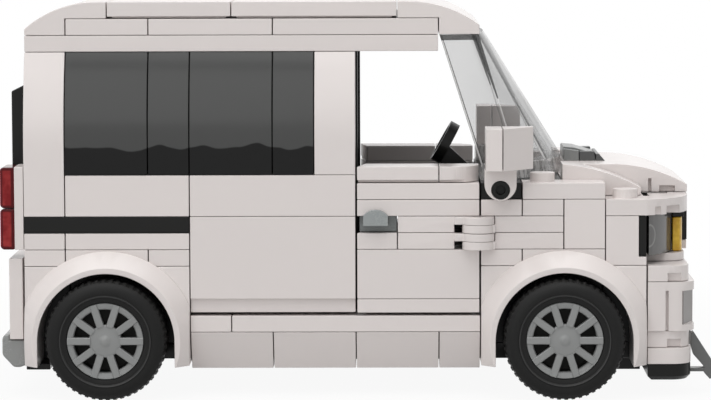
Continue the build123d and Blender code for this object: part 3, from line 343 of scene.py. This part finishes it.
# Painted shade: the red darkens towards each brick's ends and sides
outside_painted_shade = from_ends * from_sides.most(looks_back)
red.feed(red_shader.inputs["Base Color"], outside_painted_shade.blend(RED_PAINTED_EDGE_SHADE, inside_red))
moulded("rear_lamps", RED, edge=0.3)

# ---------------------------------------------------------------- Roof
# A long white plate over the walls and the windscreen, a course of plates on it and a row of
# smooth tiles on top, with curved pieces at both ends.
for node in ("roof_plate", "roof_bricks", "roof_tiles", "roof_curves"):
    moulded(node, WHITE, edge=0.15)

# ---------------------------------------------------------------- Windscreen
# One clear faceted moulding clipped between the roof and the cowl, with a thick foot rim.
# Its corners show as dark and bright lines, where the plastic turns light round them: painted
# shade and painted highlights, with a painted dark reflection of the roof along the head.
CLEAR_WALL = 1.6 * MM
FOOT_RIM = 3.0 * MM
FOOT_TALL = 3.2 * MM
screen_low, screen_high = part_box("windscreen")
# Corners from the rear edge to the middle, in mm: ahead of the rear edge's foot and in from
# the side at the foot, then the same at the head
SCREEN_CORNERS = ((0.0, 0.0, -8.0, 0.0), (7.3, 3.6, -0.4, 3.0), (13.6, 13.6, -0.1, 4.6),
                  (15.9, 20.4, 0.65, 15.0), (16.7, 27.6, 1.0, 27.6))
# Lines on the outer face: facet, place across it as a share at the foot, the middle and the
# head, and the finish from that line on, below and above the middle
SCREEN_LINES = ((0, 0.0, 0.0, 0.0, "bright", "bright"),
                (0, 0.045, 0.045, 0.04, "line", "line"),
                (0, 0.075, 0.07, 0.06, "clear", "clear"),
                (0, 0.955, 0.965, 0.86, "bright", "dark"),
                (1, 0.0, 0.0, 0.0, "clear", "clear"),
                (1, 0.86, 0.875, 0.19, "bright", "clear"),
                (1, 0.925, 0.88, 0.2, "line", "line"),
                (2, 0.0, 0.0, 0.0, "front", "line"),
                (2, 0.15, 0.28, 0.98, "front", "front"),
                (3, 0.0, 0.0, 0.0, "front", "front"),
                (3, 1.0, 1.0, 1.0, "front", "front"))
SCREEN_ROWS = (0.0, 0.5, 0.956, 1.0)     # heights as shares; over the last but one is a painted dark reflection
SCREEN_FINISHES = ("clear", "line", "dark", "bright", "front")
CLEAR_SPREAD = 1.06          # lightest shade of a clear moulding over its darkest
EDGE_BLEND = 0.35            # how soon it counts as seen edge on
screen_foot_x = screen_low[0] - SCREEN_CORNERS[0][2] * MM
glass_row = screen_low[2] + FOOT_TALL


def clear_plastic(name, shade, own, edge_on, gloss):
    """Clear moulding of which a share is seen face on, and more of it edge on."""
    lightest = [part * CLEAR_SPREAD for part in shade]
    material = plastic(name, shade, lightest, rough=0.07, gloss=gloss, peel=0.2)
    start = Wire(material.node_tree)
    facing = start.node("LayerWeight", {}, {"Blend": EDGE_BLEND}, "Facing")
    start.feed(material.node_tree.nodes["Principled BSDF"].inputs["Alpha"], own + facing * edge_on)
    return material


def closed(form, name):
    """Weld a form's points, turn its faces outward and make it a mesh."""
    bmesh.ops.remove_doubles(form, verts=form.verts, dist=WELD)
    bmesh.ops.recalc_face_normals(form, faces=form.faces)
    mesh = bpy.data.meshes.new(name)
    form.to_mesh(mesh)
    form.free()
    return mesh


def screen_point(corner, inset, share, across=0.0):
    """Point on one corner line at a height share, or part of the way across to the next one."""
    foot_x, foot_in, head_x, head_in = SCREEN_CORNERS[corner]
    x = screen_foot_x + (foot_x + (head_x - foot_x) * share) * MM - (inset if corner else 0)
    y = screen_high[1] - (foot_in + (head_in - foot_in) * share) * MM - inset
    point = Vector((x, max(y, 0.0), glass_row + (screen_high[2] - glass_row) * share))
    if across:
        point += (screen_point(corner + 1, inset, share) - point) * across
    return point


def line_share(line, share):
    """Place across its facet of one line of SCREEN_LINES at a height share."""
    foot, middle, head = line[1:4]
    if share < 0.5:
        return foot + (middle - foot) * share * 2
    return middle + (head - middle) * (share - 0.5) * 2


form = bmesh.new()
for side in (1, -1):
    mirror = Vector((1, side, 1))
    outside = [[form.verts.new(screen_point(line[0], 0, share, line_share(line, share)) * mirror)
                for line in SCREEN_LINES] for share in SCREEN_ROWS]
    inside = [[form.verts.new(screen_point(corner, CLEAR_WALL, share) * mirror)
               for corner in range(len(SCREEN_CORNERS))] for share in SCREEN_ROWS]
    for row in range(len(SCREEN_ROWS) - 1):
        for column in range(len(SCREEN_LINES) - 1):
            face = form.faces.new((outside[row][column], outside[row][column + 1],
                                   outside[row + 1][column + 1], outside[row + 1][column]))
            # The top row is the painted dark reflection; the rest take their line's finish
            tone = "dark" if row == len(SCREEN_ROWS) - 2 else SCREEN_LINES[column][4 + (row > 0)]
            face.material_index = SCREEN_FINISHES.index(tone)
        for column in range(len(SCREEN_CORNERS) - 1):
            form.faces.new((inside[row][column], inside[row + 1][column],
                            inside[row + 1][column + 1], inside[row][column + 1]))
        form.faces.new((outside[row][0], outside[row + 1][0], inside[row + 1][0], inside[row][0]))
    for row in (0, -1):
        form.faces.new(outside[row] + inside[row][::-1])
screen_mesh = closed(form, "windscreen_moulded")
# Finish: name, shade, share seen face on, further share seen edge on, gloss.  Line is painted
# shade, dark is painted shade and painted reflection, bright is a painted highlight
for tone, shade, own, edge_on, gloss in (("clear", (0.14, 0.142, 0.14), 0.09, 0.22, 0.5),
                                         ("line", (0.06, 0.06, 0.06), 0.66, 0.2, 0.3),
                                         ("dark", (0.014, 0.015, 0.014), 0.85, 0.1, 0.3),
                                         ("bright", (0.8, 0.8, 0.79), 0.5, 0.2, 0.5),
                                         ("front", (0.15, 0.152, 0.15), 0.04, 0.46, 0.05)):
    screen_mesh.materials.append(clear_plastic("screen_" + tone, shade, own, edge_on, gloss))
screen = shell("windscreen_moulded", screen_mesh, None, carrier["windscreen"], edge=0)
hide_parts("windscreen")

form = bmesh.new()
for side in (1, -1):
    rings = []
    for inset, height in ((0, screen_low[2]), (0, glass_row),
                          (FOOT_RIM, glass_row), (FOOT_RIM, screen_low[2])):
        spots = [screen_point(corner, inset, 0.0) for corner in range(len(SCREEN_CORNERS))]
        rings.append([form.verts.new((spot.x, spot.y * side, height)) for spot in spots])
    for index, here in enumerate(rings):
        after = rings[(index + 1) % len(rings)]
        for column in range(len(SCREEN_CORNERS) - 1):
            form.faces.new((here[column], here[column + 1], after[column + 1], after[column]))
    form.faces.new([ring[0] for ring in rings])
rim_mesh = closed(form, "windscreen_foot")
# The thick rim breaks up the light in upright streaks: painted shade and painted highlights in its
# colour and in how much of it is seen
STREAKS, STREAK_FADE = 1300.0, (0.34, 0.66)
STREAK_WIDE = 0.35           # width of a streak as a share of its height
PAINTED_STREAK_SHADE, PAINTED_STREAK_HIGHLIGHT = (0.36, 0.36, 0.355, 1), (0.8, 0.795, 0.79, 1)
FOOT_SOLID, STREAK_SOLID = 0.3, 0.3        # share of the rim that is seen, and what a streak adds
SCREEN_FOOT = plastic("screen_foot", (0.3, 0.3, 0.3), (0.32, 0.32, 0.32), rough=0.1, peel=0.5)
foot_shader, broken, broken_place = surface(SCREEN_FOOT)
upright = broken.node("VectorMath", {"operation": "MULTIPLY"}, {0: broken_place, 1: (1.0, 1.0, STREAK_WIDE)})
streaks = broken.node("TexNoise", {}, {"Vector": upright, "Scale": STREAKS, "Detail": 1.0})
painted_streaks = streaks.rise(*STREAK_FADE)
broken.feed(foot_shader.inputs["Base Color"], painted_streaks.blend(PAINTED_STREAK_SHADE, PAINTED_STREAK_HIGHLIGHT))
broken.feed(foot_shader.inputs["Alpha"], FOOT_SOLID + painted_streaks * STREAK_SOLID)
screen_foot = shell("windscreen_foot", rim_mesh, SCREEN_FOOT, carrier["windscreen"], edge=0.2)

# ---------------------------------------------------------------- Bonnet, fenders and cowl
# White curved bonnet and fender slopes on black plates, with a small dark grey air intake
# between two grey slopes, and a white plate under the bonnet's nose.
for node in ("bonnet", "fender_bricks", "fender_slopes"):
    moulded(node, WHITE)
moulded("cowl_plate", BLACK)
DARK_GREY = plastic("dark_grey_moulding", (0.06, 0.062, 0.062), (0.078, 0.081, 0.081), rough=0.3)
STONE_GREY = plastic("stone_grey_moulding", (0.17, 0.175, 0.172), (0.205, 0.21, 0.206), rough=0.3)
moulded("cowl_grille", DARK_GREY)
moulded("cowl_slopes", STONE_GREY)

BLOCK_FACES = ((0, 1, 3, 2), (4, 6, 7, 5), (0, 4, 5, 1), (2, 3, 7, 6), (0, 2, 6, 4), (1, 5, 7, 3))


def blocks(name, groups):
    """Mesh of blocks, each from eight corners: rear then front, right then left, low then high."""
    form = bmesh.new()
    for corners in groups:
        spots = [form.verts.new(corner) for corner in corners]
        for face in BLOCK_FACES:
            form.faces.new([spots[index] for index in face])
    return closed(form, name)


LIP_SEAM = 0.1 * MM
bonnet_low, bonnet_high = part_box("bonnet")
core_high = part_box("front_core")[1]
grille_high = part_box("grille")[1]
lip = blocks("bonnet_lip", [[(x, y, z) for x in (core_high[0] + LIP_SEAM, bonnet_high[0] - LIP_SEAM)
                             for y in (bonnet_low[1], bonnet_high[1])
                             for z in (grille_high[2] + LIP_SEAM, bonnet_low[2] - LIP_SEAM)]])
shell("bonnet_lip", lip, WHITE, carrier["bonnet"])

# ---------------------------------------------------------------- Nose
# Black core with a white top, a stack of white plates with round corners, the bumper block
# among them with thin grey sheets of painted shade in its cut corners, and the black base under it.
for node in ("front_core", "bumper_base"):
    moulded(node, BLACK)
CORE_TOP_SLACK = 0.1 * MM    # faces this near the core's top are its white top
core_mesh = bpy.data.objects["front_core_moulded"].data
core_mesh.materials.append(WHITE)
for face in core_mesh.polygons:
    if face.center.z > core_high[2] - CORE_TOP_SLACK:
        face.material_index = 1
for node in ("corner_plates", "nose_plates", "nose_curves", "bumper_block"):
    moulded(node, WHITE)
# Sheets of painted shade in the block's cut corners: (ahead of the block's front, in from its side)
# at both ends, in mm
INSERT_ENDS = ((-2.36, 0.06), (-0.02, 6.8))
INSERT_HEIGHTS = (1.25, 7.75)            # over the block's foot
INSERT_THICK = 0.5
block_low, block_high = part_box("bumper_block")
CORNER_SHADE_GREY = plastic("painted_corner_shade", (0.195, 0.178, 0.174), (0.225, 0.206, 0.20), rough=0.35, gloss=0.4)
inserts = []
for side in (1, -1):
    inserts.append([(block_high[0] + (ahead - back) * MM, side * (block_high[1] - (inward + back) * MM),
                     block_low[2] + height * MM)
                    for ahead, inward in INSERT_ENDS
                    for back in (0.0, INSERT_THICK)
                    for height in INSERT_HEIGHTS])
insert_mesh = blocks("bumper_corner_shade_sheets", inserts)
shell("bumper_corner_shade_sheets", insert_mesh, CORNER_SHADE_GREY, carrier["bumper_block"], 0.05)

# ---------------------------------------------------------------- Lamps and grille
# Smoky headlamp lenses with a faint round bowl behind them, clear amber turn lamps under the
# grille's brow, and a black grille with level bars.  All stand on the nose's white steps.
RING_RADIUS = 1.25 * MM
RING_HALF = 0.16 * MM
RING_SQUASH = 0.6            # the bowl is seen through a lens that stands at a slant
RING_CORE = 0.4              # share of its half width that is at full strength
RING_PALE, RING_SHARE = (0.30, 0.30, 0.29, 1), 0.5
BOWL_AHEAD = 0.1 * MM        # middle of the bowl ahead of the lens's rear edge
SMOKE = plastic("smoke_lens", (0.075, 0.072, 0.07), (0.10, 0.097, 0.094), rough=0.12, gloss=0.4, peel=0.2)
smoke_shader, smoke, smoke_place = surface(SMOKE)
head_low, head_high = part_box("headlamps")
squash = (1.0, 0.0, RING_SQUASH)
smoke_flat = smoke.node("VectorMath", {"operation": "MULTIPLY"}, {0: smoke_place, 1: squash})
bowl_centre = (head_low[0] + BOWL_AHEAD, 0.0, (head_low[2] + head_high[2]) / 2 * RING_SQUASH)
bowl = smoke.node("VectorMath", {"operation": "DISTANCE"}, {0: smoke_flat, 1: bowl_centre}, "Value")
ring = smoke.maths("ABSOLUTE", bowl - RING_RADIUS).rise(RING_HALF, RING_HALF * RING_CORE)
smoke_plain = smoke.fed(smoke_shader.inputs["Base Color"])
smoke.feed(smoke_shader.inputs["Base Color"], (ring * RING_SHARE).blend(smoke_plain, RING_PALE))
moulded("headlamps", SMOKE)
FACETS, FACET_FADE = 700.0, (0.3, 0.72)
AMBER_DEEP, AMBER_BRIGHT = (0.62, 0.345, 0.022, 1), (0.82, 0.54, 0.05, 1)
AMBER = plastic("amber_lens", (0.60, 0.345, 0.022), (0.76, 0.465, 0.035), rough=0.15, gloss=0.3, peel=0.4)
amber_shader, amber, amber_place = surface(AMBER)
facets = amber.node("TexNoise", {}, {"Vector": amber_place, "Scale": FACETS, "Detail": 1.0})
amber.feed(amber_shader.inputs["Base Color"], facets.rise(*FACET_FADE).blend(AMBER_DEEP, AMBER_BRIGHT))
moulded("turn_lamps", AMBER, edge=0.2)
moulded("grille", BLACK)

# ---------------------------------------------------------------- Chin blades
# Two dark grey blades that stick out low under the nose, each moulded with a thin strut that
# holds it on the bumper's base.
BLADE_GREY = plastic("blade_grey", (0.115, 0.117, 0.115), (0.145, 0.147, 0.145), rough=0.3)
moulded("chin_blade", BLADE_GREY)

# ---------------------------------------------------------------- Cab fittings
# Black dashboard of stacked bricks across the front of the cab, and on its right-hand side a
# black steering wheel on a wedge.
moulded("dashboard", BLACK)
moulded("steering_wheel", BLACK, edge=0.2)

# ---------------------------------------------------------------- Mirrors
# A black block with a hollow pin stands on each fender.  A white arm is pushed on the pin and
# carries a white housing in two pieces.
moulded("mirror_pins", BLACK)
moulded("mirrors", WHITE, edge=0.15)

# ---------------------------------------------------------------- Front doors
# White bricks and plates in courses with round cap tiles, a grey handle, and two stacked
# hinge plates whose barrels turn on the fender's hinge bases.
HANDLE_GREY = plastic("handle_grey", (0.265, 0.285, 0.285), (0.30, 0.32, 0.32), rough=0.27)
for side in ("left", "right"):
    moulded("front_door_" + side, WHITE, edge=0.15)
    moulded("door_hinge_" + side, WHITE)
    moulded("door_handle_" + side, HANDLE_GREY, edge=0.2)
moulded("hinge_bases", WHITE)

# ---------------------------------------------------------------- Wheels
# Grey moulded rims with ten flat spokes, pressed into soft black tyres with a lug tread on
# both shoulders and a thin ridge round each wall.  The well behind the spokes is painted dark,
# and each ridge is painted lighter as a highlight.
TYRE_LUGS = 52
# Steps of one lug pitch: (share of the pitch, 1 on the lug and 0 in the gap)
LUG_STEPS = ((0.0, 1), (0.44, 1), (0.5, 0), (0.94, 0))
# Half of the tyre's section from the rim out and round to the middle of the tread, in mm:
# radius, depth behind the outer wall, how far a gap between lugs is cut back, 1 on the ridge, which
# is painted lighter as a highlight
TYRE_SECTION = ((7.36, 0.9, 0, 0), (7.5, 0.5, 0, 0), (7.9, 0.38, 0, 0), (8.42, 0.34, 0, 1),
                (8.6, 0.05, 0, 1), (8.78, 0.0, 0, 0), (8.92, 0.2, 0, 0), (9.5, 0.12, 0, 0),
                (10.3, 0.25, 0, 0), (10.85, 0.6, 0, 0), (11.15, 0.9, 0.0, 0), (11.3, 0.95, 0.1, 0),
                (11.58, 1.6, 0.2, 0), (11.7, 2.3, 0.2, 0), (11.69, 3.6, 0.2, 0), (11.5, 3.75, 0, 0),
                (11.55, 5.5, 0, 0))
# The rim's closed section, in mm: radius, depth behind its face, 1 where it is painted dark for
# the shade in the well behind the spokes and the black parts seen there
RIM_SECTION = ((7.35, 0.55, 0), (7.24, 0.4, 0), (6.3, 0.55, 0), (6.12, 0.8, 0), (6.08, 1.8, 1),
               (6.05, 4.55, 1), (3.13, 4.55, 1), (3.13, 1.6, 0), (3.13, 0.62, 0), (2.95, 0.46, 0),
               (2.4, 0.42, 0), (1.7, 0.36, 0), (1.2, 0.32, 0), (1.0, 0.28, 0), (0.8, 0.12, 0),
               (0.45, 0.03, 0), (0.0, 0.0, 0), (0.0, 1.95, 0), (1.96, 1.95, 0), (1.96, 10.85, 0),
               (3.13, 10.85, 0), (3.13, 5.75, 0), (6.1, 5.75, 0), (6.1, 8.95, 0), (7.35, 8.95, 0))
RIM_STEPS = 80
TURNED_CREASE = 28.0         # sharper edges than this stay sharp, in degrees
SPOKES = 10
SPOKE_RADII = (2.85, 7.28)
# Half of a spoke's section, in mm: across from its middle, depth behind the rim's face
SPOKE_SECTION = ((0.55, 0.2), (0.69, 0.34), (0.69, 1.7))
RIM_GREY = plastic("rim_moulding", (0.225, 0.23, 0.228), (0.26, 0.265, 0.262), rough=0.3)
RIM_WELL_SHADE = plastic("rim_well_painted_shade", (0.012, 0.012, 0.011), (0.05, 0.05, 0.046), rough=0.5, gloss=0.2, peel=6.0)
RUBBER = plastic("tyre_rubber", (0.0095, 0.0095, 0.0095), (0.0125, 0.0125, 0.012),
                 rough=0.5, gloss=0.16, peel=3.0)
RIDGE_HIGHLIGHT = plastic("tyre_ridge_painted_highlight", (0.016, 0.016, 0.016), (0.032, 0.032, 0.031),
                rough=0.4, gloss=0.4, peel=3.0)


def axle_point(box, radius, angle, depth):
    """Point round a wheel's axle, at a depth in mm behind the box's outer face."""
    low, high = box
    y = high[1] - depth * MM if high[1] > 0 else low[1] + depth * MM
    return Vector(((low[0] + high[0]) / 2 + radius * MM * cos(angle), y,
                   (low[2] + high[2]) / 2 + radius * MM * sin(angle)))


def skin(form, rings, finishes):
    """Join closed rings of points, each the same section at its own angle."""
    made = [[form.verts.new(point) for point in ring] for ring in rings]
    for index, ring in enumerate(made):
        after = made[(index + 1) % len(made)]
        for place, tone in enumerate(finishes):
            last = (place + 1) % len(ring)
            form.faces.new((ring[place], ring[last], after[last], after[place])).material_index = tone


def wheel_piece(node, form, materials):
    """Stand in for a wheel's CAD node with a turned form."""
    mesh = closed(form, node + "_moulded")
    for material in materials:
        mesh.materials.append(material)
    piece = shell(node + "_moulded", mesh, None, carrier[node], edge=0, crease=TURNED_CREASE)
    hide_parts(node)


def tyre(node):
    """Turn the tyre's section; the inner shoulder's lugs sit between the outer ones."""
    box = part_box(node)
    width = (box[1][1] - box[0][1]) / MM
    section = [(radius, depth, cut, tone, 0) for radius, depth, cut, tone in TYRE_SECTION]
    section += [(radius, width - depth, cut, tone, 1) for radius, depth, cut, tone in TYRE_SECTION[-2::-1]]
    rings = []
    for lug in range(TYRE_LUGS):
        for share, raised in LUG_STEPS:
            angle = (lug + share) * 2 * pi / TYRE_LUGS
            rings.append([axle_point(box, radius - (cut if raised == inner else 0), angle, depth)
                          for radius, depth, cut, tone, inner in section])
    form = bmesh.new()
    skin(form, rings, [tone for radius, depth, cut, tone, inner in section])
    wheel_piece(node, form, [RUBBER, RIDGE_HIGHLIGHT])


def rim(node):
    """Turn the rim's section and lay ten spokes with slanted edges over it."""
    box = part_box(node)
    form = bmesh.new()
    rings = [[axle_point(box, radius, step * 2 * pi / RIM_STEPS, depth)
              for radius, depth, tone in RIM_SECTION] for step in range(RIM_STEPS)]
    skin(form, rings, [tone for radius, depth, tone in RIM_SECTION])
    bar = [(-across, depth) for across, depth in SPOKE_SECTION[::-1]] + list(SPOKE_SECTION)
    for spoke in range(SPOKES):
        turn = spoke * 2 * pi / SPOKES
        ends = [[form.verts.new(axle_point(box, hypot(radius, across), turn + across / radius, depth))
                 for across, depth in bar] for radius in SPOKE_RADII]
        for place in range(len(bar)):
            last = (place + 1) % len(bar)
            form.faces.new((ends[0][place], ends[0][last], ends[1][last], ends[1][place]))
        for end in ends:
            form.faces.new(end)
    wheel_piece(node, form, [RIM_GREY, RIM_WELL_SHADE])


for place in ("front", "rear"):
    for side in ("left", "right"):
        rim(f"{place}_{side}_rim")
        tyre(f"{place}_{side}_tyre")
